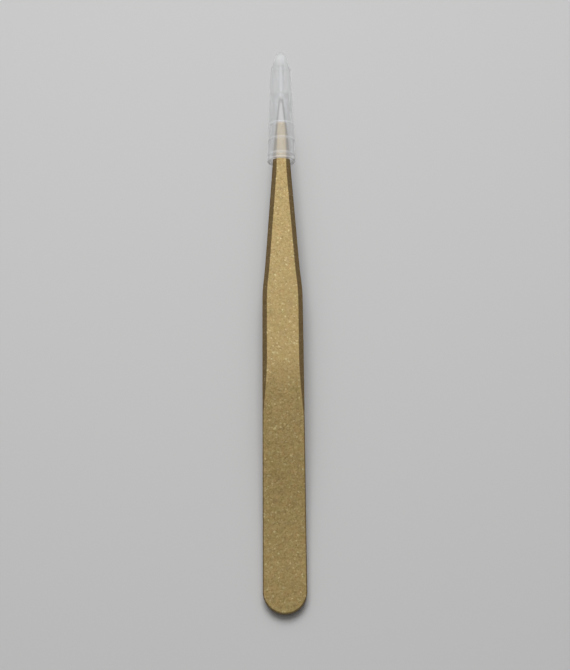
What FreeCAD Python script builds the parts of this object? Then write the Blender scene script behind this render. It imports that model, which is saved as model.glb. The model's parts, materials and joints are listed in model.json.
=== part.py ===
"""Straight tweezers with a push-on tip cap.

Two steel arms lie face to face at the tail, where they are spot-welded, bow apart to a crown and come
together again at the tips. A moulded translucent cap holds the tips close.
The model is built with the weld plane at Z = 0 and the tail's end at Y = 0, tips towards +Y. It is then
laid down as the real tweezers come to rest: on the tail's end and on the crown of the lower arm.
"""
import FreeCAD, Part
import math
import os
from collections import namedtuple
from FreeCAD import Vector

# Arm seen from above, in millimetres
arm_length = 125.0
tail_width = 10.0
shoulder_at = 75.2
shoulder_width = 9.5
shoulder_reach = 2.4
shoulder_length = 5.2
shoulder_foot_width = 8.3
shoulder_foot_reach = 2.2
throat_from_tip = 12.0
throat_width = 3.46
throat_reach = 4.0
tip_width = 1.0
tip_corner = 0.35

# Arm seen from the side
strip_thickness = 1.3
front_thickness = 1.15
tip_thickness = 0.75
weld_length = 10.0
tail_bend_length = 18.0
rear_slope = 4.6
crown_at = 54.6
crown_bend_length = 9.4
front_bow = 0.25
front_straight = 3.0
tip_gap = 1.2
edge_round = 0.2

# Bevels ground along the outer edges of each arm's front half
bevel_width = 1.05
bevel_depth = 0.95
bevel_tip_width = 0.38
bevel_taper_from = 106.0
bevel_taper_length = 11.0
run_out_from = 58.0
run_out_length = 14.0
run_out_power = 1.5
bevel_overrun = 0.6
bevel_step = 3.0
shoulder_step = 1.0

# Tip cap, with places measured from its mouth
cap_cover = 16.2
cap_length = 28.7
cap_clearance = 0.06
tip_side_clearance = 0.7
tip_end_clearance = 1.3
rim_wall = 0.8
waist_wall = 0.77
waist_at = 8.2
waist_reach = 5.0
front_wall = 0.8
front_at = 18.8
front_reach = 4.5
collar_at = 24.6
collar_drop = 0.48
collar_chamfer = 0.15
nose_step = 0.38
nose_taper_length = 2.5
nose_taper_from = 1.86
nose_taper_reach = 1.2
nose_end_radius = 1.05
nose_end_reach = 0.6
nose_wall = 1.28
nose_end_thickness = 3.4
bead_positions = (1.55, 5.45, 9.45)
bead_height = 0.14
bead_top_width = 0.24
bead_flank = 0.22
lip_width = 0.5
lip_height = 0.1
lip_flank = 0.1

# Squeeze
flex_axis_from_weld = 1.0
closed_tip_gap = 0.1

Stretch = namedtuple("Stretch", "start end arc")
Arc = namedtuple("Arc", "middle centre radius side")


class RoundedPath:
    """A line through corners given as (along, across, reach), each inner corner rounded by an arc.

    An arc starts and ends at the corner's reach from it, measured along the two legs. A corner with no
    reach stays sharp.
    """

    def __init__(self, corners):
        self.stretches = []
        at = corners[0][:2]
        for before, corner, after in zip(corners, corners[1:], corners[2:]):
            start, end, arc = self.round_corner(before, corner, after)
            self.stretches.append(Stretch(at, start, None))
            if corner[2] > 0:
                self.stretches.append(Stretch(start, end, arc))
            at = end
        self.stretches.append(Stretch(at, corners[-1][:2], None))

    def round_corner(self, before, corner, after):
        """Where the arc at one corner starts and ends, and the arc itself."""
        along, across, reach = corner
        heading_in = math.atan2(across - before[1], along - before[0])
        heading_out = math.atan2(after[1] - across, after[0] - along)
        turn = heading_out - heading_in
        radius = reach / math.tan(abs(turn) / 2)
        side = math.copysign(1.0, turn)
        start = (along - reach * math.cos(heading_in), across - reach * math.sin(heading_in))
        end = (along + reach * math.cos(heading_out), across + reach * math.sin(heading_out))
        offset = side * radius
        centre = (start[0] - offset * math.sin(heading_in), start[1] + offset * math.cos(heading_in))
        heading = heading_in + turn / 2
        middle = (centre[0] + offset * math.sin(heading), centre[1] - offset * math.cos(heading))
        return start, end, Arc(middle, centre, radius, side)

    def across_at(self, along):
        """Height of the path at one distance along it."""
        stretch = next((s for s in self.stretches if along <= s.end[0]), self.stretches[-1])
        if stretch.arc:
            run = along - stretch.arc.centre[0]
            return stretch.arc.centre[1] - stretch.arc.side * math.sqrt(stretch.arc.radius ** 2 - run ** 2)
        share = (along - stretch.start[0]) / (stretch.end[0] - stretch.start[0])
        return stretch.start[1] + share * (stretch.end[1] - stretch.start[1])

    def edges(self, to_space):
        """The path as edges, with to_space turning (along, across) into a point."""
        edges = []
        for stretch in self.stretches:
            start = to_space(*stretch.start)
            end = to_space(*stretch.end)
            if stretch.arc:
                edges.append(Part.Arc(start, to_space(*stretch.arc.middle), end).toShape())
            else:
                edges.append(Part.makeLine(start, end))
        return edges


def face_from(edges):
    """A flat face bounded by edges in any order."""
    return Part.Face(Part.Wire(Part.__sortEdges__(edges)))


# Side profile of the upper arm: corners of its inner face
tail_bend_at = weld_length + tail_bend_length / 2
crown_rise = (crown_at - tail_bend_at) * math.tan(math.radians(rear_slope))
front_start = crown_at + crown_bend_length / 2
front_middle = (front_start + arm_length) / 2
front_slope = (crown_rise - tip_gap / 2) / (arm_length - crown_at)
inner_corners = [
    (0.0, 0.0, 0.0),
    (tail_bend_at, 0.0, tail_bend_length / 2),
    (crown_at, crown_rise, crown_bend_length / 2),
    (
        front_middle,
        crown_rise - (front_middle - crown_at) * front_slope + front_bow,
        arm_length - front_middle - front_straight,
    ),
    (arm_length, tip_gap / 2, 0.0),
]
thickness_at_corners = [strip_thickness, strip_thickness, strip_thickness, front_thickness, tip_thickness]


def outer_corners():
    """The inner face's corners moved outwards by the strip's thickness there."""
    headings = [
        math.atan2(end[1] - start[1], end[0] - start[0])
        for start, end in zip(inner_corners, inner_corners[1:])
    ]
    before = [headings[0]] + headings
    after = headings + [headings[-1]]
    moved = []
    for corner, heading_in, heading_out, thickness in zip(inner_corners, before, after, thickness_at_corners):
        middle = (heading_in + heading_out) / 2
        shift = thickness / math.cos((heading_out - heading_in) / 2)
        along = corner[0] - shift * math.sin(middle)
        moved.append((along, corner[1] + shift * math.cos(middle), corner[2]))
    return moved


inner_path = RoundedPath(inner_corners)
outer_path = RoundedPath(outer_corners())

# Outline of one side of the arm from above
tail_radius = tail_width / 2
outline_path = RoundedPath([
    (tail_radius, tail_width / 2),
    (shoulder_at, shoulder_width / 2, shoulder_reach),
    (shoulder_at + shoulder_length, shoulder_foot_width / 2, shoulder_foot_reach),
    (arm_length - throat_from_tip, throat_width / 2, throat_reach),
    (arm_length, tip_width / 2, tip_corner),
    (arm_length, 0.0),
])


def half_width_at(along):
    """Half the arm's width, held constant past the start of the tip's corner."""
    return outline_path.across_at(min(along, arm_length - tip_corner))


def bevel_width_at(along):
    """Width of the ground bevel seen from above. It grows over the run-out and narrows before the tip."""
    if along < run_out_from:
        share = (run_out_from - along) / run_out_length
        return bevel_width * (1 - share ** run_out_power)
    share = (along - bevel_taper_from) / bevel_taper_length
    return bevel_width + min(max(share, 0.0), 1.0) * (bevel_tip_width - bevel_width)


def outer_rim(blank):
    """The edges where the blank's outer face meets its side walls and its tip."""
    touching = edge_round / 10
    rim = []
    for edge in blank.Edges:
        point = edge.valueAt((edge.FirstParameter + edge.LastParameter) / 2)
        on_outer_face = abs(point.z - outer_path.across_at(point.y)) < touching
        across_face = edge.BoundBox.YLength < touching and point.y < arm_length - edge_round
        upright = edge.BoundBox.ZLength > strip_thickness / 2 and edge.BoundBox.YLength < touching
        if on_outer_face and not across_face and not upright:
            rim.append(edge)
    return rim


def make_blank():
    """The arm before its bevels are ground: the bent strip cut to its outline, with softened edges."""
    wall = -tail_width
    inner_edges = inner_path.edges(lambda along, up: Vector(wall, along, up))
    outer_edges = outer_path.edges(lambda along, up: Vector(wall, along, up))
    tail_end = Part.makeLine(inner_edges[0].Vertexes[0].Point, outer_edges[0].Vertexes[0].Point)
    tip_end = Part.makeLine(inner_edges[-1].Vertexes[-1].Point, outer_edges[-1].Vertexes[-1].Point)
    strip = face_from(inner_edges + outer_edges + [tail_end, tip_end]).extrude(Vector(2 * tail_width, 0, 0))
    right_edges = outline_path.edges(lambda along, out: Vector(out, along, 0))
    left_edges = outline_path.edges(lambda along, out: Vector(-out, along, 0))
    right_start, left_start = (Vector(side * tail_radius, tail_radius, 0) for side in (1, -1))
    tail_arc = Part.Arc(right_start, Vector(0, 0, 0), left_start).toShape()
    plan_face = face_from(right_edges + left_edges + [tail_arc])
    blank = strip.common(plan_face.extrude(Vector(0, 0, 2 * (crown_rise + strip_thickness))))
    return blank.makeFillet(edge_round, outer_rim(blank))


def bevel_stations():
    """Distances along the arm at which the bevel is set out, closer together round the shoulder."""
    dense_from = shoulder_at - 2 * shoulder_reach
    dense_to = shoulder_at + shoulder_length + 2 * shoulder_foot_reach
    stations = [run_out_from - run_out_length - bevel_step]
    while stations[-1] < arm_length + bevel_step:
        step = shoulder_step if dense_from < stations[-1] < dense_to else bevel_step
        stations.append(stations[-1] + step)
    return stations


def make_bevel_cutter(side):
    """The metal ground away from one outer edge, lofted through triangular sections."""
    fall = bevel_depth / bevel_width
    sections = []
    for along in bevel_stations():
        edge_out = half_width_at(along)
        edge_up = outer_path.across_at(along)
        width = bevel_width_at(along)
        inner_out = side * (edge_out - width - bevel_overrun)
        outer_out = side * (edge_out + bevel_overrun)
        top = edge_up + bevel_overrun * fall
        bottom = edge_up - (width + bevel_overrun) * fall
        corners = [(inner_out, top), (outer_out, bottom), (outer_out, top), (inner_out, top)]
        sections.append(Part.makePolygon([Vector(out, along, up) for out, up in corners]))
    return Part.makeLoft(sections, True, False)


def make_upper_arm():
    """One arm: the blank with both outer edges bevelled from the crown to the tip."""
    arm = make_blank()
    for side in (1, -1):
        arm = arm.cut(make_bevel_cutter(side))
    return arm


def arm_corner_radius(along):
    """Distance from the axis to the arm's furthest corner in the section there."""
    out = half_width_at(along)
    up = outer_path.across_at(along)
    bevel = bevel_width_at(along)
    return max(math.hypot(out - bevel, up), math.hypot(out, up - bevel * bevel_depth / bevel_width))


# Cap: bore and outer form follow the arms
mouth_at = arm_length - cap_cover
pocket_end = arm_length + tip_end_clearance
pilot_end = mouth_at + cap_length - nose_end_thickness
bore_mouth_radius = arm_corner_radius(mouth_at) + cap_clearance
bore_front_radius = arm_corner_radius(arm_length) + tip_side_clearance
bore_taper = (bore_mouth_radius - bore_front_radius) / (pocket_end - mouth_at)
rim_radius = bore_mouth_radius + rim_wall
waist_radius = bore_mouth_radius - bore_taper * waist_at + waist_wall
front_radius = bore_front_radius + front_wall
collar_radius = front_radius - collar_drop
nose_radius = collar_radius - nose_step
cap_outline = RoundedPath([
    (mouth_at, rim_radius),
    (mouth_at + waist_at, waist_radius, waist_reach),
    (mouth_at + front_at, front_radius, front_reach),
    (mouth_at + collar_at - collar_chamfer, collar_radius, 0.0),
    (mouth_at + collar_at, collar_radius - collar_chamfer, 0.0),
    (mouth_at + collar_at, nose_radius, 0.0),
    (mouth_at + cap_length - nose_taper_length, nose_taper_from, nose_taper_reach),
    (mouth_at + cap_length, nose_end_radius, nose_end_reach),
    (mouth_at + cap_length, 0.0),
])


def revolve(edges):
    """A solid turned about the tweezers' axis from a closed profile."""
    return face_from(edges).revolve(Vector(0, 0, 0), Vector(0, 1, 0), 360)


def revolve_polygon(corners):
    """A solid turned from a closed profile with straight sides, given as (along, out) corners."""
    points = [Vector(out, along, 0) for along, out in corners]
    return revolve([Part.makeLine(start, end) for start, end in zip(points, points[1:] + points[:1])])


def make_ridge(start, top_width, height, flank):
    """A low ridge round the cap that starts at one distance along it, with sloped sides."""
    end = start + top_width + 2 * flank
    return revolve_polygon([
        (start, 0.0),
        (start, cap_outline.across_at(start)),
        (start + flank, cap_outline.across_at(start + flank) + height),
        (end - flank, cap_outline.across_at(end - flank) + height),
        (end, cap_outline.across_at(end)),
        (end, 0.0),
    ])


def make_bore():
    """The space inside the cap: a tapered pocket for the tips and a narrow pilot in the nose."""
    return revolve_polygon([
        (mouth_at - rim_wall, 0.0),
        (mouth_at - rim_wall, bore_mouth_radius + bore_taper * rim_wall),
        (pocket_end, bore_front_radius),
        (pocket_end, nose_radius - nose_wall),
        (pilot_end, nose_radius - nose_wall),
        (pilot_end, 0.0),
    ])


def make_tip_cap():
    """The cap: a flared sleeve with a lip and low beads, a stepped collar and a rounded nose."""
    nose = Vector(0, mouth_at + cap_length, 0)
    mouth = Vector(0, mouth_at, 0)
    outline = cap_outline.edges(lambda along, out: Vector(out, along, 0))
    outline.append(Part.makeLine(nose, mouth))
    outline.append(Part.makeLine(mouth, Vector(rim_radius, mouth_at, 0)))
    cap = revolve(outline)
    for position in bead_positions:
        start = mouth_at + position - bead_top_width / 2 - bead_flank
        cap = cap.fuse(make_ridge(start, bead_top_width, bead_height, bead_flank))
    cap = cap.fuse(make_ridge(mouth_at, lip_width, lip_height, lip_flank))
    return cap.cut(make_bore())


def resting_pitch():
    """Angle that brings the lower arm's tail edge and crown to one level.

    Both are round in side view, so the floor is the line that touches their two circles.
    """
    crown = next(stretch.arc for stretch in outer_path.stretches if stretch.arc and stretch.arc.side < 0)
    run = crown.centre[0] - edge_round
    rise = -crown.centre[1] - (edge_round - strip_thickness)
    lean = math.asin((edge_round - crown.radius) / math.hypot(run, rise))
    return -math.degrees(math.atan2(rise, run) + lean)


def main():
    os.makedirs("parts", exist_ok=True)
    upper_arm = make_upper_arm()
    lower_arm = upper_arm.mirror(Vector(0, 0, 0), Vector(0, 0, 1))
    pieces = {"upper_arm": upper_arm, "lower_arm": lower_arm, "tip_cap": make_tip_cap()}
    pitch = resting_pitch()
    for shape in pieces.values():
        shape.rotate(Vector(0, 0, 0), Vector(1, 0, 0), pitch)
    box = Part.makeCompound(list(pieces.values())).optimalBoundingBox(False, False)
    shift = Vector(-box.Center.x, -box.Center.y, -box.ZMin)
    for name, shape in pieces.items():
        shape.translate(shift)
        shape.exportStep("parts/" + name + ".step")
        print(name, "valid", shape.isValid(), "solids", len(shape.Solids), "volume %.2f" % shape.Volume)

    def place(along, up):
        point = FreeCAD.Rotation(Vector(1, 0, 0), pitch).multVec(Vector(0, along, up)) + shift
        return tuple(round(value, 4) for value in point)

    tilt = math.radians(pitch)
    squeeze = (tip_gap - closed_tip_gap) / (arm_length - weld_length - flex_axis_from_weld)
    print("size %.3f x %.3f x %.3f" % (box.XLength, box.YLength, box.ZLength), "pitch %.4f" % pitch)
    print("axis direction (0, %.6f, %.6f)" % (math.cos(tilt), math.sin(tilt)))
    print("flex axis", place(weld_length + flex_axis_from_weld, 0), "squeeze %.3f" % math.degrees(squeeze))
    print("tail faces", place(tail_radius, strip_thickness), place(tail_radius, -strip_thickness))


main()
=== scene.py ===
# %% [markdown]
# # Straight tweezers with a tip cap
# Two flat steel arms are welded face to face at the tail. Each bends away from the other, bends back
# at a crown and comes to a fine tip. The outside wears a gritty bronze-gold coat, and a soft clear cap
# is pushed over the tips. The real thing is about 137 mm long, so every size here is in metres and
# small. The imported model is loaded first, because it says where each piece lies.

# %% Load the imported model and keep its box
import json
import math
import bmesh
import bpy
from mathutils import Matrix, Vector


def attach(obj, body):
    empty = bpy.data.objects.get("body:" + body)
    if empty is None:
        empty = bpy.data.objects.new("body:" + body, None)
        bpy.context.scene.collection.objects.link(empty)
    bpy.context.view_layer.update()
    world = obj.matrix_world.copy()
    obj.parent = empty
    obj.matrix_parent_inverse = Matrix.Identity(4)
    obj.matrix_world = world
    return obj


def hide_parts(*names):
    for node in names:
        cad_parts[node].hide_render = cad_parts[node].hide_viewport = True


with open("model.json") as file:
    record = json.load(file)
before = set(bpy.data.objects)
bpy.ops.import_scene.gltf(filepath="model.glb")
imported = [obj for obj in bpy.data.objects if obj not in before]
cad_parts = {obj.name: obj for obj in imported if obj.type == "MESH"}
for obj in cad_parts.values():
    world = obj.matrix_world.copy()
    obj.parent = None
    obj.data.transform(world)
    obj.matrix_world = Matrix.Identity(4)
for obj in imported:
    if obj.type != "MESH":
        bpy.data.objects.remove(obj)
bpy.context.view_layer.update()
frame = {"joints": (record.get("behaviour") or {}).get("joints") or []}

MM = 0.001

# %% [markdown]
# ## Where the tweezers lie
# They rest on the tail's end and on the crown of the lower arm, so the weld plane slopes a few
# degrees up towards the tips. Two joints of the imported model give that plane: the cap slides along it,
# and the arms flex about a line in it. Reading both keeps this script right if the rest changes.

# %% Place of the weld plane
joints = {joint["name"]: joint for joint in frame["joints"]}
forward = Vector(joints["cap_pull"]["axis"]).normalized()
PITCH = math.atan2(forward.z, forward.y)
FLEX_AT = 11.0 * MM
tail_end = Vector(joints["squeeze"]["pos_m"]) - FLEX_AT * forward
print("pitch %.3f degrees, tail end in mm" % math.degrees(PITCH), [round(v / MM, 3) for v in tail_end])

# %% [markdown]
# ## Camera
# The photograph looks down with a short telephoto lens that leans 18 degrees towards the tail. The
# oval of the cap's rim gives the lean, and the widths of the tail and of the shoulder give the
# distance. The camera is placed by its look-at point, and turned about its own axis by the roll.

# %% Camera
LENS = 85.0
LEAN = math.radians(18.4)
ROLL = math.radians(-0.501)
DISTANCE = 377.67 * MM
look_at = Vector((0.49 * MM, -2.06 * MM, 0.0))


def make_camera():
    """A camera that leans towards the tail and looks at one point of the floor."""
    data = bpy.data.cameras.new("camera")
    data.lens = LENS
    data.clip_start = DISTANCE / 20
    camera = bpy.data.objects.new("camera", data)
    bpy.context.scene.collection.objects.link(camera)
    back = Vector((0.0, -math.sin(LEAN), math.cos(LEAN)))
    camera.location = look_at + DISTANCE * back
    camera.rotation_euler = (Matrix.Rotation(LEAN, 3, "X") @ Matrix.Rotation(ROLL, 3, "Z")).to_euler()
    bpy.context.scene.camera = camera
    return camera


camera = make_camera()
print("camera at", [round(v, 4) for v in camera.location])

# %% [markdown]
# ## Node helpers
# Materials and Geometry Nodes are both trees of nodes. One helper adds a node, sets its options and
# fills its sockets. A socket is filled with a number, or linked when the value is another node's
# output. Sockets are named by their label, or by their index where two share a label.

# %% Helpers for nodes
def add_node(tree, kind, sockets=None, **options):
    """A new node, with its options set and its input sockets filled or linked."""
    node = tree.nodes.new(kind)
    for name, value in options.items():
        setattr(node, name, value)
    for key, value in (sockets or {}).items():
        if isinstance(value, bpy.types.NodeSocket):
            tree.links.new(value, node.inputs[key])
        else:
            node.inputs[key].default_value = value
    return node


def calculate(tree, operation, first, second=0.0, clamp=False):
    """The output of a math node on two values, in a shader tree or a geometry tree."""
    sockets = {0: first, 1: second}
    return add_node(tree, "ShaderNodeMath", sockets, operation=operation, use_clamp=clamp).outputs[0]


def vector_calculate(tree, operation, first, second=(0.0, 0.0, 0.0), scale=None):
    """The output of a vector math node on two vectors, or on a vector and a scale."""
    sockets = {0: first, 1: second} if scale is None else {0: first, "Scale": scale}
    return add_node(tree, "ShaderNodeVectorMath", sockets, operation=operation).outputs["Vector"]


# %% Helpers for geometry trees
WELD_DISTANCE = 0.0015 * MM
SHORTEST_EDGE = 0.0005 * MM


def new_geometry_tree(name, sizes):
    """A geometry tree with a geometry socket, and named number inputs given as {name: kind}."""
    tree = bpy.data.node_groups.new(name, "GeometryNodeTree")
    tree.interface.new_socket("Geometry", in_out="OUTPUT", socket_type="NodeSocketGeometry")
    tree.interface.new_socket("Geometry", in_out="INPUT", socket_type="NodeSocketGeometry")
    for label, kind in sizes.items():
        tree.interface.new_socket(label, in_out="INPUT", socket_type="NodeSocket" + kind)
    return tree, add_node(tree, "NodeGroupInput").outputs


def read_attribute(tree, name, kind="FLOAT"):
    """The output that reads a named attribute of the points."""
    return add_node(tree, "GeometryNodeInputNamedAttribute", {"Name": name}, data_type=kind).outputs[0]


def grow(name, start, tree, values, body):
    """Runs a geometry tree on a start mesh and returns its result as a plain mesh object."""
    source = bpy.data.objects.new(name + "_start", start)
    bpy.context.scene.collection.objects.link(source)
    modifier = source.modifiers.new("grow", "NODES")
    modifier.node_group = tree
    for item in tree.interface.items_tree:
        if item.in_out == "INPUT" and item.name in values:
            modifier[item.identifier] = values[item.name]
    graph = bpy.context.evaluated_depsgraph_get()
    mesh = bpy.data.meshes.new_from_object(source.evaluated_get(graph), depsgraph=graph)
    bpy.data.objects.remove(source)
    piece = bpy.data.objects.new(name, mesh)
    bpy.context.scene.collection.objects.link(piece)
    mesh.name = name
    return piece


def close_and_orient(piece):
    """Welds the poles of a closed skin and turns its faces outwards. Returns its volume."""
    work = bmesh.new()
    work.from_mesh(piece.data)
    bmesh.ops.remove_doubles(work, verts=work.verts, dist=WELD_DISTANCE)
    bmesh.ops.dissolve_degenerate(work, edges=work.edges, dist=SHORTEST_EDGE)
    bmesh.ops.recalc_face_normals(work, faces=work.faces)
    if work.calc_volume(signed=True) < 0:
        bmesh.ops.reverse_faces(work, faces=work.faces)
    volume = work.calc_volume(signed=True)
    open_edges = sum(1 for edge in work.edges if not edge.is_manifold)
    work.to_mesh(piece.data)
    work.free()
    print(piece.name, "faces", len(piece.data.polygons),
          "volume %.1f mm3" % (volume / MM ** 3), "open", open_edges)
    return volume


# %% [markdown]
# ## A bent line with soft corners
# The arm's outline seen from above and its profile seen from the side are both straight runs joined by
# arcs, which is how the strip is cut and bent. One class describes such a line by its corners and by
# how far each arc reaches along its two legs. It gives the height anywhere along it, and it can be
# walked in even steps with the direction at each step.

# %% Lines with rounded corners
class RoundedPath:
    """A line through corners (along, across, reach), each inner corner rounded by an arc."""

    def __init__(self, corners):
        self.stretches = []
        at = Vector(corners[0][:2])
        for before, corner, after in zip(corners, corners[1:], corners[2:]):
            point = Vector(corner[:2])
            leg_in = (point - Vector(before[:2])).normalized()
            leg_out = (Vector(after[:2]) - point).normalized()
            turn = math.atan2(leg_in.cross(leg_out), leg_in.dot(leg_out))
            start, end = point - corner[2] * leg_in, point + corner[2] * leg_out
            self.stretches.append((at, start, leg_in, 0.0))
            if corner[2] > 0:
                self.stretches.append((start, end, leg_in, turn))
            at = end
        last = Vector(corners[-1][:2])
        self.stretches.append((at, last, (last - at).normalized(), 0.0))

    def arc_centre(self, start, end, heading, turn):
        """Centre and signed radius of an arc that starts along heading and turns by turn."""
        radius = (end - start).length / 2 / math.sin(turn / 2)
        return start + radius * Vector((-heading.y, heading.x)), radius

    def across_at(self, along):
        """Height of the line at one distance along it."""
        reached = (stretch for stretch in self.stretches if along <= stretch[1].x)
        start, end, heading, turn = next(reached, self.stretches[-1])
        if turn:
            centre, radius = self.arc_centre(start, end, heading, turn)
            return centre.y - math.copysign(math.sqrt(radius ** 2 - (along - centre.x) ** 2), radius)
        return start.y + (along - start.x) / (end.x - start.x) * (end.y - start.y)

    def walk(self, step, turn_step):
        """Points along the line with the direction at each, no further apart than the two steps."""
        steps = []
        for start, end, heading, turn in self.stretches:
            length = (end - start).length
            count = max(1, math.ceil(length / step), math.ceil(abs(turn) / turn_step))
            for index in range(count):
                share = index / count
                if turn:
                    centre, radius = self.arc_centre(start, end, heading, turn)
                    rotation = Matrix.Rotation(turn * share, 2)
                    steps.append((centre + rotation @ (start - centre), rotation @ heading))
                elif length > 0:
                    steps.append((start.lerp(end, share), heading))
        steps.append((self.stretches[-1][1], self.stretches[-1][2]))
        return steps


print("rounded lines ready")

# %% [markdown]
# ## The arm's sizes
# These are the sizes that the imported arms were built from, repeated in metres. The outline is given for
# one side, and the profile for the upper arm, with the weld plane at height 0. The strip gets thinner
# towards the tip, so the outer face has its own line, offset from the inner one corner by corner.

# %% Side profile of an arm
ARM_LENGTH = 125.0 * MM
TAIL_WIDTH = 10.0 * MM
TAIL_BEND = (19.0 * MM, 9.0 * MM)
REAR_SLOPE = math.radians(4.6)
CROWN = (54.6 * MM, 4.7 * MM)
FRONT_BOW = 0.25 * MM
FRONT_STRAIGHT = 3.0 * MM
TIP_GAP = 1.2 * MM
THICKNESSES = [1.3 * MM, 1.3 * MM, 1.3 * MM, 1.15 * MM, 0.75 * MM]

crown_rise = (CROWN[0] - TAIL_BEND[0]) * math.tan(REAR_SLOPE)
front_middle = (CROWN[0] + CROWN[1] + ARM_LENGTH) / 2
front_slope = (crown_rise - TIP_GAP / 2) / (ARM_LENGTH - CROWN[0])
front_rise = crown_rise - (front_middle - CROWN[0]) * front_slope + FRONT_BOW
inner_corners = [
    (0.0, 0.0, 0.0),
    (TAIL_BEND[0], 0.0, TAIL_BEND[1]),
    (CROWN[0], crown_rise, CROWN[1]),
    (front_middle, front_rise, ARM_LENGTH - front_middle - FRONT_STRAIGHT),
    (ARM_LENGTH, TIP_GAP / 2, 0.0),
]


def offset_corners(corners, distances):
    """The corners moved outwards, each by its own distance."""
    headings = [math.atan2(b[1] - a[1], b[0] - a[0]) for a, b in zip(corners, corners[1:])]
    moved = []
    headings_in, headings_out = headings[:1] + headings, headings + headings[-1:]
    for corner, before, after, distance in zip(corners, headings_in, headings_out, distances):
        middle = (before + after) / 2
        shift = distance / math.cos((after - before) / 2)
        moved.append((corner[0] - shift * math.sin(middle), corner[1] + shift * math.cos(middle), corner[2]))
    return moved


inner_path = RoundedPath(inner_corners)
outer_path = RoundedPath(offset_corners(inner_corners, THICKNESSES))
print("crown %.2f mm above the weld plane" % (outer_path.across_at(CROWN[0]) / MM))

# %% Outline of an arm from above
TIP_HALF_WIDTH = 0.5 * MM
TIP_CORNER = 0.35 * MM
tail_radius = TAIL_WIDTH / 2
outline_path = RoundedPath([
    (tail_radius, tail_radius, 0.0),
    (75.2 * MM, 4.75 * MM, 2.4 * MM),
    (80.4 * MM, 4.15 * MM, 2.2 * MM),
    (113.0 * MM, 1.73 * MM, 4.0 * MM),
    (ARM_LENGTH, TIP_HALF_WIDTH, TIP_CORNER),
    (ARM_LENGTH, 0.0, 0.0),
])
STATION_STEP = 1.0 * MM
STATION_TURN = math.radians(3.0)
TAIL_STEPS = 30


def outline_stations():
    """Points round one side of the arm, from the tail's end to the tip's, with the inward direction."""
    stations = []
    for index in range(TAIL_STEPS):
        angle = index / TAIL_STEPS * math.pi / 2
        inward = Vector((-math.sin(angle), math.cos(angle)))
        stations.append((Vector((0.0, tail_radius)) - tail_radius * inward, inward))
    for point, heading in outline_path.walk(STATION_STEP, STATION_TURN):
        stations.append((Vector((point.y, point.x)), Vector((-heading.x, heading.y))))
    return stations


stations = outline_stations()
print(len(stations), "stations along the outline")

# %% [markdown]
# ## Ground bevels
# The front half of each outer edge is ground away at about 42 degrees. The bevel starts narrow at the
# crown, widens on a curve and narrows again at the tip. Behind it the edge is only rounded, so the
# width never falls below the size of that rounding. A high power joins the two without a kink.

# %% Width of the bevel along the arm
BEVEL_WIDTH = 1.05 * MM
BEVEL_TIP_WIDTH = 0.38 * MM
BEVEL_FALL = 0.95 / 1.05
TAPER_FROM = 106.0 * MM
TAPER_LENGTH = 11.0 * MM
RUN_OUT_FROM = 58.0 * MM
RUN_OUT_LENGTH = 14.0 * MM
RUN_OUT_POWER = 1.5
EDGE_ROUND = 0.2 * MM
JOIN_POWER = 4


def full_bevel_at(along):
    """Width of the bevel in front of its run-out, which tapers towards the tip."""
    share = min(max((along - TAPER_FROM) / TAPER_LENGTH, 0.0), 1.0)
    return BEVEL_WIDTH + share * (BEVEL_TIP_WIDTH - BEVEL_WIDTH)


def bevel_width_at(along, inward):
    """Width of the ground bevel seen from above, and of the plain rounding where there is none."""
    if along < RUN_OUT_FROM:
        share = (RUN_OUT_FROM - along) / RUN_OUT_LENGTH
        ground = BEVEL_WIDTH * max(0.0, 1 - share ** RUN_OUT_POWER)
    else:
        ground = full_bevel_at(along)
    ground *= abs(inward.x) ** 2
    return (ground ** JOIN_POWER + EDGE_ROUND ** JOIN_POWER) ** (1 / JOIN_POWER)


widths = [bevel_width_at(along * MM, Vector((-1, 0))) for along in (50, 70, 120)]
print("bevel at 50, 70 and 120 mm:", [round(width / MM, 2) for width in widths])

# %% [markdown]
# ## The arm as a section carried along its outline
# A coated strip has one section all the way: flat inside, upright wall, bevel, flat outside, and every
# edge a little soft. So the arm could be cut from a block, but here Geometry Nodes carry one section
# along the outline. Each section point says how many bevel widths and how many softenings it lies
# inwards and downwards, and each station says how wide its bevel is. Their product is a clean mesh of
# rows and columns that follows the rule exactly.

# %% Section points
INNER_REACH = 0.6
INNER_GUARD, LOW_GUARD, HIGH_GUARD, OUTER_GUARD = 1.4, 1.2, 1.6, 1.5
BEVEL_GUARDS = (0.15, 0.85)
COLUMNS = 8
bevel_along = Vector((1.0, BEVEL_FALL)).normalized()


def soft_corner(bevels, leg_in, leg_out, reach, level):
    """Points round one soft corner: (bevels in, softs in, level, bevels down, softs up)."""
    points = []
    for share in (0.0, 1 / 3, 2 / 3, 1.0):
        back, ahead = (1 - share) ** 2 * reach, share ** 2 * reach
        offset = ahead * leg_out - back * leg_in
        points.append((bevels, offset.x, level, 1 - bevels if level else 0, offset.y))
    return points


def mix_points(first, second, share):
    """The point between two section points."""
    return tuple(a + share * (b - a) for a, b in zip(first, second))


def half_section():
    """One half of the section, out from the inner face, up and in over the outer face.

    A guard is a point just off a corner, in softenings, that keeps the flat beside it flat.
    """
    inwards, upwards = Vector((1.0, 0.0)), Vector((0.0, 1.0))
    inner_edge = soft_corner(0, -inwards, upwards, INNER_REACH, 0)
    low_edge = soft_corner(0, upwards, bevel_along, 1.0, 1)
    high_edge = soft_corner(1, bevel_along, inwards, 1.0, 1)
    points = [(0, INNER_GUARD, 0, 0, 0)] + inner_edge
    points += [(0, 0, 0, 0, LOW_GUARD), (0, 0, 1, 1, -HIGH_GUARD)] + low_edge
    points += [mix_points(low_edge[-1], high_edge[0], share) for share in BEVEL_GUARDS]
    return points + high_edge + [(1, OUTER_GUARD, 1, 0, 0)]


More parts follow.
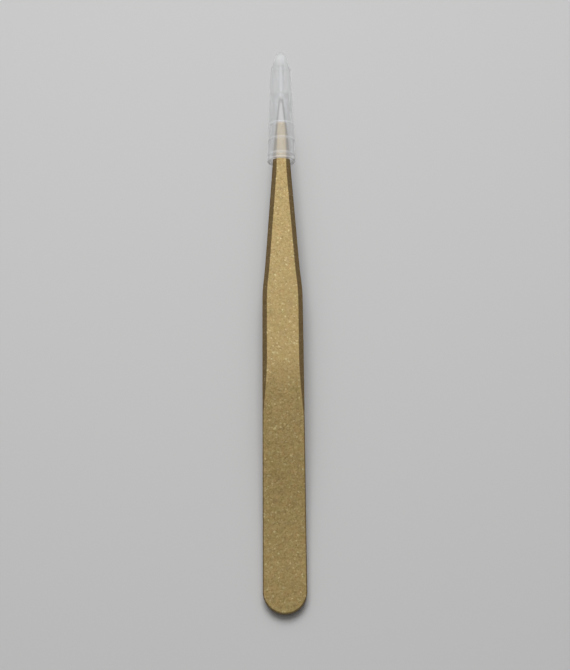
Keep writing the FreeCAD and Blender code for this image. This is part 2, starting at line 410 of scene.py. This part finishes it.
def full_section(columns):
    """The closed section as (across, bevels in, softs in, level, bevels down, softs up)."""
    half = half_section()
    right = [(1.0,) + point for point in half]
    left = [(-1.0,) + point for point in reversed(half)]
    shares = [1 - 2 * index / columns for index in range(1, columns)]
    top = [(share,) + half[-1] for share in shares]
    bottom = [(-share,) + half[0] for share in shares]
    return right + top + left + bottom


section = full_section(COLUMNS)
print(len(section), "points in the section")


# %% Meshes that carry the rule into the tree
def polyline(name, points, closed, **attributes):
    """A mesh of points joined in order, with named numbers or vectors on the points."""
    mesh = bpy.data.meshes.new(name)
    edges = [(index, index + 1) for index in range(len(points) - 1)]
    mesh.from_pydata(points, edges + ([(len(points) - 1, 0)] if closed else []), [])
    for label, values in attributes.items():
        is_vector = not isinstance(values[0], (int, float))
        layer = mesh.attributes.new(label, "FLOAT_VECTOR" if is_vector else "FLOAT", "POINT")
        for item, value in zip(layer.data, values):
            if is_vector:
                item.vector = value
            else:
                item.value = value
    return mesh


station_mesh = polyline(
    "stations",
    [(0.0, index * MM, 0.0) for index in range(len(stations))],
    False,
    rim=[(point.x, point.y, 0.0) for point, inward in stations],
    inward=[(inward.x, inward.y, 0.0) for point, inward in stations],
    bevel=[bevel_width_at(point.y, inward) for point, inward in stations],
    inner_up=[inner_path.across_at(point.y) for point, inward in stations],
    outer_up=[outer_path.across_at(point.y) for point, inward in stations],
)
section_labels = ("across", "bevels_in", "softs_in", "level", "bevels_down", "softs_up")
section_mesh = polyline(
    "section",
    [(math.cos(index) * MM, math.sin(index) * MM, 0.0) for index in range(len(section))],
    True,
    **{label: [float(point[place]) for point in section] for place, label in enumerate(section_labels)},
)
section_object = bpy.data.objects.new("section", section_mesh)
bpy.context.scene.collection.objects.link(section_object)
print("carried:", [a.name for a in station_mesh.attributes if not a.name.startswith(".")])


# %% The tree that builds an arm
def arm_tree(material):
    """Carries the section along the stations and lays the arm in its place."""
    sizes = {"Section": "Object", "Softening": "Float", "Bevel fall": "Float", "Side": "Float",
             "Pitch": "Float", "Tail end": "Vector"}
    tree, given = new_geometry_tree("arm from its section", sizes)
    loop = add_node(tree, "GeometryNodeObjectInfo", {"Object": given["Section"]}).outputs["Geometry"]
    rail = add_node(tree, "GeometryNodeMeshToCurve", {"Mesh": given["Geometry"]}).outputs[0]
    ring = add_node(tree, "GeometryNodeMeshToCurve", {"Mesh": loop}).outputs[0]
    skin = add_node(tree, "GeometryNodeCurveToMesh", {"Curve": rail, "Profile Curve": ring}).outputs[0]
    bevel = read_attribute(tree, "bevel")
    inset = calculate(tree, "ADD",
                      calculate(tree, "MULTIPLY", read_attribute(tree, "bevels_in"), bevel),
                      calculate(tree, "MULTIPLY", read_attribute(tree, "softs_in"), given["Softening"]))
    inward = read_attribute(tree, "inward", "FLOAT_VECTOR")
    moved = vector_calculate(tree, "ADD", read_attribute(tree, "rim", "FLOAT_VECTOR"),
                             vector_calculate(tree, "SCALE", inward, scale=inset))
    flat = add_node(tree, "ShaderNodeSeparateXYZ", {0: moved}).outputs
    out = calculate(tree, "MULTIPLY", calculate(tree, "MAXIMUM", flat["X"], 0.0),
                    read_attribute(tree, "across"))
    inner, outer = read_attribute(tree, "inner_up"), read_attribute(tree, "outer_up")
    thickness = calculate(tree, "MULTIPLY", calculate(tree, "SUBTRACT", outer, inner),
                          read_attribute(tree, "level"))
    depth = calculate(tree, "MULTIPLY", calculate(tree, "MULTIPLY", bevel, given["Bevel fall"]),
                      read_attribute(tree, "bevels_down"))
    soft = calculate(tree, "MULTIPLY", read_attribute(tree, "softs_up"), given["Softening"])
    raised = calculate(tree, "SUBTRACT", calculate(tree, "ADD", inner, thickness), depth)
    height = calculate(tree, "ADD", raised, soft)
    up = calculate(tree, "MULTIPLY", height, given["Side"])
    place = add_node(tree, "ShaderNodeCombineXYZ", {"X": out, "Y": flat["Y"], "Z": up}).outputs[0]
    shaped = add_node(tree, "GeometryNodeSetPosition", {"Geometry": skin, "Position": place}).outputs[0]
    turn = add_node(tree, "ShaderNodeCombineXYZ", {"X": given["Pitch"]}).outputs[0]
    laid = add_node(tree, "GeometryNodeTransform", {"Geometry": shaped, "Translation": given["Tail end"],
                                                    "Rotation": turn}).outputs[0]
    smooth = add_node(tree, "GeometryNodeSetShadeSmooth", {"Geometry": laid}).outputs[0]
    real = add_node(tree, "GeometryNodeRealizeInstances", {0: smooth}).outputs[0]
    done = add_node(tree, "GeometryNodeSetMaterial", {"Geometry": real, "Material": material}).outputs[0]
    add_node(tree, "NodeGroupOutput", {0: done})
    return tree


SOFTENING = 0.1 * MM
coating = bpy.data.materials.new("bronze_gold_coat")
skin_tree = arm_tree(coating)
arm_values = {"Section": section_object, "Softening": SOFTENING, "Bevel fall": BEVEL_FALL,
              "Pitch": PITCH, "Tail end": tuple(tail_end)}
arms = {}
for name, side in (("upper_arm", 1.0), ("lower_arm", -1.0)):
    piece = grow("coated_" + name, station_mesh.copy(), skin_tree, {**arm_values, "Side": side}, name)
    close_and_orient(piece)
    arms[name] = piece
bpy.data.objects.remove(section_object)

# %% [markdown]
# ## The cap
# The cap is moulded in one piece of soft clear plastic: a flared sleeve with a rolled lip and three
# low beads, a stepped collar and a rounded nose. It is a turned form, so its profile is walked once and
# carried round a circle. The beads are raised in the tree by the same rule at three places, and stay
# part of one closed skin, because separate rings inside clear plastic would show their hidden faces.

# %% Sizes of the cap
def arm_corner_radius(along):
    """Distance from the tweezers' axis to the arm's furthest corner in the section there."""
    out = outline_path.across_at(min(along, ARM_LENGTH - TIP_CORNER))
    up = outer_path.across_at(along)
    bevel = full_bevel_at(along)
    return max(math.hypot(out - bevel, up), math.hypot(out, up - bevel * BEVEL_FALL))


OVERLAP = 16.2 * MM
CAP_LENGTH = 28.7 * MM
POCKET_ROOM = 1.3 * MM
NOSE_WALL = 3.4 * MM
MOUTH_PLAY = 0.06 * MM
FRONT_PLAY = 0.7 * MM
WALL = 0.8 * MM
WAIST_WALL = 0.77 * MM
WAIST_AT, FRONT_AT, COLLAR_AT = 8.2 * MM, 18.8 * MM, 24.6 * MM
COLLAR_STEP, NOSE_STEP = 0.48 * MM, 0.38 * MM
PILOT_WALL = 1.28 * MM
NOSE_ROUND = (2.5 * MM, 1.86 * MM)
NOSE_FLAT_RADIUS = 1.05 * MM
RIM_WIDTH_KEPT = 0.001 * MM

MOUTH_AT = ARM_LENGTH - OVERLAP
nose_end = MOUTH_AT + CAP_LENGTH
pocket_end = ARM_LENGTH + POCKET_ROOM
pilot_end = nose_end - NOSE_WALL
bore_mouth = arm_corner_radius(MOUTH_AT) + MOUTH_PLAY
bore_front = arm_corner_radius(ARM_LENGTH) + FRONT_PLAY
bore_taper = (bore_mouth - bore_front) / (pocket_end - MOUTH_AT)
rim_radius = bore_mouth + WALL
waist_radius = bore_mouth - bore_taper * WAIST_AT + WAIST_WALL
front_radius = bore_front + WALL
collar_radius = front_radius - COLLAR_STEP
nose_radius = collar_radius - NOSE_STEP
pilot_radius = nose_radius - PILOT_WALL
cap_path = RoundedPath([
    (MOUTH_AT, rim_radius, 0.0),
    (MOUTH_AT + WAIST_AT, waist_radius, 5.0 * MM),
    (MOUTH_AT + FRONT_AT, front_radius, 4.5 * MM),
    (MOUTH_AT + COLLAR_AT, collar_radius, 0.14 * MM),
    (MOUTH_AT + COLLAR_AT, nose_radius, 0.1 * MM),
    (nose_end - NOSE_ROUND[0], NOSE_ROUND[1], 1.2 * MM),
    (nose_end, NOSE_FLAT_RADIUS, 0.6 * MM),
    (nose_end, 0.0, 0.0),
])
bore_path = RoundedPath([
    (MOUTH_AT, rim_radius - RIM_WIDTH_KEPT, 0.0),
    (MOUTH_AT, bore_mouth, 0.12 * MM),
    (pocket_end, bore_front, 0.15 * MM),
    (pocket_end, pilot_radius, 0.12 * MM),
    (pilot_end, pilot_radius, 0.15 * MM),
    (pilot_end, 0.0, 0.0),
])
radii = [round(radius / MM, 2) for radius in (rim_radius, front_radius, nose_radius)]
print("cap radii in mm at rim, front and nose:", radii)

# %% Profile of the cap
PROFILE_STEP = 0.09 * MM
BORE_STEP = 0.5 * MM
PROFILE_TURN = math.radians(12.0)
BEAD_PLACES = (1.55 * MM, 5.45 * MM, 9.45 * MM)
BEAD_HALF = 0.34 * MM
BEAD_HEIGHT = 0.14 * MM
BEAD_POWER = 0.7
LIP_PLACE = 0.26 * MM
LIP_HALF = 0.27 * MM
LIP_HEIGHT = 0.1 * MM
CAP_SEGMENTS = 80

outer_walk = [point for point, heading in cap_path.walk(PROFILE_STEP, PROFILE_TURN)]
bore_walk = [point for point, heading in bore_path.walk(BORE_STEP, PROFILE_TURN)]
profile = list(reversed(outer_walk)) + bore_walk
is_outside = [1.0] * len(outer_walk) + [0.0] * len(bore_walk)
profile_mesh = polyline("profile", [(0.0, index * MM, 0.0) for index in range(len(profile))], False,
                        along=[point.x for point in profile], out=[point.y for point in profile],
                        outside=is_outside)
print(len(profile), "points in the cap's profile")


# %% The tree that turns the cap
def raised_bead(tree, along, place, half_length, height):
    """Height of one bead at a distance along the cap: a round hump, a little fuller than a parabola."""
    share = calculate(tree, "DIVIDE", calculate(tree, "SUBTRACT", along, place), half_length)
    left = calculate(tree, "SUBTRACT", 1.0, calculate(tree, "MULTIPLY", share, share), clamp=True)
    return calculate(tree, "MULTIPLY", calculate(tree, "POWER", left, BEAD_POWER), height)


def cap_tree(material):
    """Turns the profile about the tweezers' axis, with its beads and lip raised."""
    sizes = {"Segments": "Int", "Mouth at": "Float", "Bead half length": "Float", "Bead height": "Float",
             "Pitch": "Float", "Tail end": "Vector"}
    tree, given = new_geometry_tree("cap turned from its profile", sizes)
    segments = given["Segments"]
    wheel = add_node(tree, "GeometryNodeCurvePrimitiveCircle", {"Resolution": segments}).outputs[0]
    share = calculate(tree, "DIVIDE", add_node(tree, "GeometryNodeInputIndex").outputs[0], segments)
    turned = calculate(tree, "MULTIPLY", share, math.tau)
    marked = add_node(tree, "GeometryNodeStoreNamedAttribute",
                      {"Geometry": wheel, "Name": "turned", "Value": turned},
                      data_type="FLOAT", domain="POINT").outputs[0]
    line = add_node(tree, "GeometryNodeMeshToCurve", {"Mesh": given["Geometry"]}).outputs[0]
    skin = add_node(tree, "GeometryNodeCurveToMesh", {"Curve": marked, "Profile Curve": line}).outputs[0]
    along = read_attribute(tree, "along")
    from_mouth = calculate(tree, "SUBTRACT", along, given["Mouth at"])
    raised = raised_bead(tree, from_mouth, LIP_PLACE, LIP_HALF, LIP_HEIGHT)
    for bead_place in BEAD_PLACES:
        bead = raised_bead(tree, from_mouth, bead_place, given["Bead half length"], given["Bead height"])
        raised = calculate(tree, "ADD", raised, bead)
    out = calculate(tree, "ADD", read_attribute(tree, "out"),
                    calculate(tree, "MULTIPLY", raised, read_attribute(tree, "outside")))
    angle = read_attribute(tree, "turned")
    place = add_node(tree, "ShaderNodeCombineXYZ", {
        "X": calculate(tree, "MULTIPLY", out, calculate(tree, "COSINE", angle)),
        "Y": along,
        "Z": calculate(tree, "MULTIPLY", out, calculate(tree, "SINE", angle)),
    }).outputs[0]
    shaped = add_node(tree, "GeometryNodeSetPosition", {"Geometry": skin, "Position": place}).outputs[0]
    turn = add_node(tree, "ShaderNodeCombineXYZ", {"X": given["Pitch"]}).outputs[0]
    laid = add_node(tree, "GeometryNodeTransform", {"Geometry": shaped, "Translation": given["Tail end"],
                                                    "Rotation": turn}).outputs[0]
    smooth = add_node(tree, "GeometryNodeSetShadeSmooth", {"Geometry": laid}).outputs[0]
    real = add_node(tree, "GeometryNodeRealizeInstances", {0: smooth}).outputs[0]
    done = add_node(tree, "GeometryNodeSetMaterial", {"Geometry": real, "Material": material}).outputs[0]
    add_node(tree, "NodeGroupOutput", {0: done})
    return tree


clear_plastic = bpy.data.materials.new("clear_soft_plastic")
cap_values = {"Segments": CAP_SEGMENTS, "Mouth at": MOUTH_AT, "Bead half length": BEAD_HALF,
              "Bead height": BEAD_HEIGHT, "Pitch": PITCH, "Tail end": tuple(tail_end)}
cap = grow("moulded_tip_cap", profile_mesh, cap_tree(clear_plastic), cap_values, "cap")
close_and_orient(cap)

# %% [markdown]
# ## The coat
# The arms wear a baked coat full of fine metal flakes. Seen close, each flake is a grain of its own
# tint that leans its own way, so some flash and some stay dark. Three-dimensional cells give each
# grain its random tint and lean, and slow noise gives the blotches that sprayed flakes settle into.
# The coat stops a few millimetres short of the tips, where bare ground steel shows. One number, 0 on
# the coat and 1 on the steel, comes from the distance along the arm and mixes every value below.
# In the photograph the bevels are darker and redder than the broad faces. Light alone may do that, so
# the tint that slanting faces get here is a guess. It stands in for whatever the cause is.

# %% Coat material
GRAIN = 0.33 * MM
BLOTCH = 1.6 * MM
COAT_END = 118.6 * MM
COAT_END_WAVER = 0.12 * MM
SLANT_TINT = (0.8, 0.74, 0.74)
SLANT_FROM = 0.15
SLANT_GAIN = 3.0
BARE_STEEL = (0.27, 0.26, 0.258, 1.0)
FLAKE_TINTS = [(0.0, (0.183, 0.124, 0.036)), (0.3, (0.213, 0.148, 0.048)), (0.6, (0.231, 0.164, 0.058)),
               (0.85, (0.245, 0.179, 0.066)), (0.95, (0.262, 0.194, 0.08)), (1.0, (0.345, 0.285, 0.138))]
BLOTCH_SHADE = (0.82, 0.2)
HUE_DRIFT = 0.15
FLAKE_SWING = 0.14
FLAKE_ROUGHNESS = (0.46, 0.14)
STEEL_ROUGHNESS = 0.56
COAT_METAL = 0.7
BINDER_WEIGHT = 0.22
BINDER_ROUGHNESS = 0.4


def distance_along(tree, place):
    """Distance of a shaded point along the tweezers' axis, from the world's origin."""
    sockets = {0: place, 1: forward}
    return add_node(tree, "ShaderNodeVectorMath", sockets, operation="DOT_PRODUCT").outputs["Value"]


def ranged(tree, value, low_and_span):
    """A value from 0 to 1 laid over a range, given as its low end and its span."""
    low, span = low_and_span
    return calculate(tree, "ADD", calculate(tree, "MULTIPLY", value, span), low)


def make_coat(material):
    """Metal flakes in a clear binder, and bare steel beyond the end of the coat."""
    material.use_nodes = True
    tree = material.node_tree
    tree.nodes.clear()
    place = add_node(tree, "ShaderNodeTexCoord").outputs["Object"]
    cells = add_node(tree, "ShaderNodeTexVoronoi", {"Vector": place, "Scale": 1 / GRAIN}, feature="F1")
    draw = add_node(tree, "ShaderNodeSeparateColor", {"Color": cells.outputs["Color"]}).outputs
    clouds = add_node(tree, "ShaderNodeTexNoise", {"Vector": place, "Scale": 1 / BLOTCH, "Detail": 3.0,
                                                   "Roughness": 0.6}).outputs
    blotch = clouds["Fac"]
    tint = add_node(tree, "ShaderNodeValToRGB", {"Fac": draw["Red"]}).outputs["Color"]
    ramp = tree.nodes[-1].color_ramp
    while len(ramp.elements) < len(FLAKE_TINTS):
        ramp.elements.new(0.5)
    for element, (position, colour) in zip(ramp.elements, FLAKE_TINTS):
        element.position = position
        element.color = (*colour, 1.0)
    along = distance_along(tree, place)
    edge = ranged(tree, blotch, (COAT_END + tail_end.dot(forward), COAT_END_WAVER))
    bare = calculate(tree, "GREATER_THAN", along, edge)
    coated = calculate(tree, "SUBTRACT", 1.0, bare)
    shade = ranged(tree, blotch, BLOTCH_SHADE)
    hue_drift = vector_calculate(tree, "SCALE", clouds["Color"], scale=HUE_DRIFT)
    flakes = vector_calculate(tree, "MULTIPLY", tint, vector_calculate(tree, "ADD", hue_drift, shade))
    facing = add_node(tree, "ShaderNodeNewGeometry").outputs["Normal"]
    tilt = calculate(tree, "ABSOLUTE", add_node(tree, "ShaderNodeSeparateXYZ", {0: facing}).outputs["X"])
    over = calculate(tree, "SUBTRACT", tilt, SLANT_FROM)
    slant = calculate(tree, "MULTIPLY", over, SLANT_GAIN, clamp=True)
    brown = vector_calculate(tree, "MULTIPLY", flakes, SLANT_TINT)
    coat = add_node(tree, "ShaderNodeMix", {0: slant, 6: flakes, 7: brown}, data_type="RGBA").outputs[2]
    colour = add_node(tree, "ShaderNodeMix", {0: bare, 6: coat, 7: BARE_STEEL}, data_type="RGBA").outputs[2]
    lean = vector_calculate(tree, "SUBTRACT", cells.outputs["Color"], (0.5, 0.5, 0.5))
    swing = calculate(tree, "MULTIPLY", coated, FLAKE_SWING)
    leaning = vector_calculate(tree, "ADD", facing, vector_calculate(tree, "SCALE", lean, scale=swing))
    normal = vector_calculate(tree, "NORMALIZE", leaning)
    grainy = ranged(tree, draw["Green"], FLAKE_ROUGHNESS)
    roughness = add_node(tree, "ShaderNodeMix", {0: bare, 2: grainy, 3: STEEL_ROUGHNESS}).outputs[0]
    shader = add_node(tree, "ShaderNodeBsdfPrincipled", {
        "Base Color": colour, "Metallic": COAT_METAL, "Roughness": roughness, "Normal": normal,
        "Coat Weight": BINDER_WEIGHT, "Coat Roughness": BINDER_ROUGHNESS}).outputs[0]
    add_node(tree, "ShaderNodeOutputMaterial", {"Surface": shader})


make_coat(coating)
print("coat made with", len(coating.node_tree.nodes), "nodes")

# %% [markdown]
# ## The plastic
# Soft clear plastic lets light through but is a little milky, and its skin is not quite polished. A
# transmissive shader that keeps a share of plain diffuse white does that in one node, which also
# travels best to other programs. Slow noise varies the roughness, as on a moulded part that has been
# handled. A mask from the distances to the mouth and to the axis makes some places whiter and less
# clear. On the beads, the lip and the solid nose that is partly the thicker plastic scattering more
# light and partly a painted highlight. At the ends of the bore and of the pilot bore it is a painted
# glint. A little sheen stands in for haze that brightens the wall's edges.
#
# Light bends through such a thin wall and still arrives, but a renderer's shadow rays stop at it. So
# the cap is hidden from shadow, diffuse and glossy rays, and camera and transmitted rays still see it.

# %% Plastic material
HAZE = 0.8 * MM
PLASTIC_ROUGHNESS = (0.28, 0.12)
PLASTIC_IOR = 1.16
# The second share is the clear share of the whitened places: partly thicker plastic, partly painted
# highlight.
CLEAR_SHARE, SCATTER_AND_HIGHLIGHT_SHARE = 0.79, 0.58
SHEEN_WEIGHT = 0.4
SHEEN_ROUGHNESS = 0.4
# Whitened nose end: partly its thicker plastic, partly a painted highlight.
NOSE_SCATTER_AND_HIGHLIGHT = 0.8
NOSE_WHITE_LENGTH = 3.0 * MM
NOSE_WHITE_RISE = 1.0 * MM
GLINT_RING_HALF = 0.2 * MM
# Whitened rings: partly thicker plastic and partly painted highlight on the lip and beads, painted glints at
# the bore's ends.
SCATTER_AND_GLINT_RINGS = [(ridge_place, 1.0) for ridge_place in (LIP_PLACE, *BEAD_PLACES)]
SCATTER_AND_GLINT_RINGS += [(pocket_end - MOUTH_AT, 0.9 * MM), (pilot_end - MOUTH_AT, 0.7 * MM)]
# The whiter tint carries the painted highlights and glints as well as the thicker plastic's scatter.
CLEAR_TINT = (0.805, 0.81, 0.815, 1.0)
SCATTER_AND_HIGHLIGHT_TINT = (0.88, 0.885, 0.89, 1.0)


def make_plastic(material):
    """Milky clear plastic with an uneven skin, and whiter beads and nose.

    Each white ring has its place from the mouth and how far it reaches from the axis, which is any
    distance at all for a bead.
    """
    material.use_nodes = True
    tree = material.node_tree
    tree.nodes.clear()
    place = add_node(tree, "ShaderNodeTexCoord").outputs["Object"]
    noise = add_node(tree, "ShaderNodeTexNoise", {"Vector": place, "Scale": 1 / HAZE, "Detail": 2.0})
    roughness = ranged(tree, noise.outputs["Fac"], PLASTIC_ROUGHNESS)
    along = distance_along(tree, place)
    from_mouth = calculate(tree, "SUBTRACT", along, MOUTH_AT + tail_end.dot(forward))
    # The nose end is whitened: partly thicker plastic, partly a painted highlight.
    nose_depth = calculate(tree, "SUBTRACT", from_mouth, CAP_LENGTH - NOSE_WHITE_LENGTH)
    white = calculate(tree, "MULTIPLY", nose_depth, NOSE_SCATTER_AND_HIGHLIGHT / NOSE_WHITE_RISE, clamp=True)
    white = calculate(tree, "MINIMUM", white, NOSE_SCATTER_AND_HIGHLIGHT)
    off_tail = vector_calculate(tree, "SUBTRACT", place, tuple(tail_end))
    sideways = vector_calculate(tree, "CROSS_PRODUCT", off_tail, tuple(forward))
    radius = add_node(tree, "ShaderNodeVectorMath", {0: sideways}, operation="LENGTH").outputs["Value"]
    # Each ring whitens a band: painted glints at the bore's ends, partly painted highlights on the lip and
    # beads.
    for ring_place, reach in SCATTER_AND_GLINT_RINGS:
        off = calculate(tree, "ABSOLUTE", calculate(tree, "SUBTRACT", from_mouth, ring_place))
        near = calculate(tree, "LESS_THAN", off, GLINT_RING_HALF)
        inside = calculate(tree, "LESS_THAN", radius, reach)
        white = calculate(tree, "MAXIMUM", calculate(tree, "MULTIPLY", near, inside), white)
    tints = {0: white, 6: CLEAR_TINT, 7: SCATTER_AND_HIGHLIGHT_TINT}
    tint = add_node(tree, "ShaderNodeMix", tints, data_type="RGBA").outputs[2]
    clear = add_node(tree, "ShaderNodeMix", {0: white, 2: CLEAR_SHARE, 3: SCATTER_AND_HIGHLIGHT_SHARE}).outputs[0]
    shader = add_node(tree, "ShaderNodeBsdfPrincipled", {
        "Base Color": tint, "Roughness": roughness, "IOR": PLASTIC_IOR, "Transmission Weight": clear,
        "Sheen Weight": SHEEN_WEIGHT, "Sheen Roughness": SHEEN_ROUGHNESS}).outputs[0]
    add_node(tree, "ShaderNodeOutputMaterial", {"Surface": shader})


make_plastic(clear_plastic)
cap.visible_shadow = False
cap.visible_diffuse = False
cap.visible_glossy = False
print("plastic made with", len(clear_plastic.node_tree.nodes), "nodes")

# %% [markdown]
# ## Floor and light
# A plain pale floor takes the shadow. A lamp stands beyond the tips and a little to the left, about 60
# degrees up. It is two squares in one direction, a small one that draws the shadow's core and a wide
# one that spreads its edge, and a dim even world fills the rest.

# %% Floor
FLOOR_HALF = 3.0
FLOOR_TINT = (0.552, 0.552, 0.552, 1.0)
FLOOR_ROUGHNESS = 0.6


def make_floor():
    """A wide flat floor just under the tweezers."""
    mesh = bpy.data.meshes.new("floor")
    corners = [(x * FLOOR_HALF, y * FLOOR_HALF, 0.0) for x, y in ((-1, -1), (1, -1), (1, 1), (-1, 1))]
    mesh.from_pydata(corners, [], [(0, 1, 2, 3)])
    floor = bpy.data.objects.new("floor", mesh)
    bpy.context.scene.collection.objects.link(floor)
    material = bpy.data.materials.new("pale_floor")
    material.use_nodes = True
    shader = material.node_tree.nodes["Principled BSDF"]
    shader.inputs["Base Color"].default_value = FLOOR_TINT
    shader.inputs["Roughness"].default_value = FLOOR_ROUGHNESS
    mesh.materials.append(material)


make_floor()
print("floor laid, half its side in metres:", FLOOR_HALF)


# %% Lamps
LAMP_AZIMUTH = math.radians(-6.0)
LAMP_ELEVATION = math.radians(60.0)
LAMP_DISTANCE = 1.0
LAMPS = (("key", 0.55, 6.8), ("wide", 1.3, 4.3))


def make_lamp(name, size, power):
    """A square soft lamp that shines at the tweezers, with its side in metres and its power in watts."""
    data = bpy.data.lights.new(name, "AREA")
    data.shape = "SQUARE"
    data.size = size
    data.energy = power
    lamp = bpy.data.objects.new(name, data)
    bpy.context.scene.collection.objects.link(lamp)
    level = math.cos(LAMP_ELEVATION)
    direction = Vector((math.sin(LAMP_AZIMUTH) * level, math.cos(LAMP_AZIMUTH) * level,
                        math.sin(LAMP_ELEVATION)))
    lamp.location = LAMP_DISTANCE * direction
    lamp.rotation_euler = direction.to_track_quat("Z", "Y").to_euler()
    return lamp


for lamp_name, lamp_size, lamp_power in LAMPS:
    lamp = make_lamp(lamp_name, lamp_size, lamp_power)
    print(lamp_name, "lamp at", [round(v, 3) for v in lamp.location])

# %% World
FILL = 0.13
ROOM = 0.5
world = bpy.data.worlds.new("studio")
bpy.context.scene.world = world
world.use_nodes = True
path = add_node(world.node_tree, "ShaderNodeLightPath").outputs
seen = calculate(world.node_tree, "MAXIMUM", path["Is Camera Ray"], path["Is Glossy Ray"])
seen = calculate(world.node_tree, "MAXIMUM", seen, path["Is Transmission Ray"])
strength = ranged(world.node_tree, seen, (FILL, ROOM - FILL))
background = world.node_tree.nodes["Background"]
background.inputs["Color"].default_value = (1.0, 1.0, 1.0, 1.0)
world.node_tree.links.new(strength, background.inputs["Strength"])
bpy.context.scene.view_settings.view_transform = "Standard"
print("world lights with", FILL, "and shows as", ROOM)

# %% [markdown]
# ## Joining the imported model
# Each arm stands for its imported node and rides on its body, and so does the cap.

# %% Bodies of the pieces
for node, body in (("upper_arm", "upper_arm"), ("lower_arm", "lower_arm")):
    piece = arms[node]
    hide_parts(node)
    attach(piece, body)
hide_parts("tip_cap")
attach(cap, "cap")
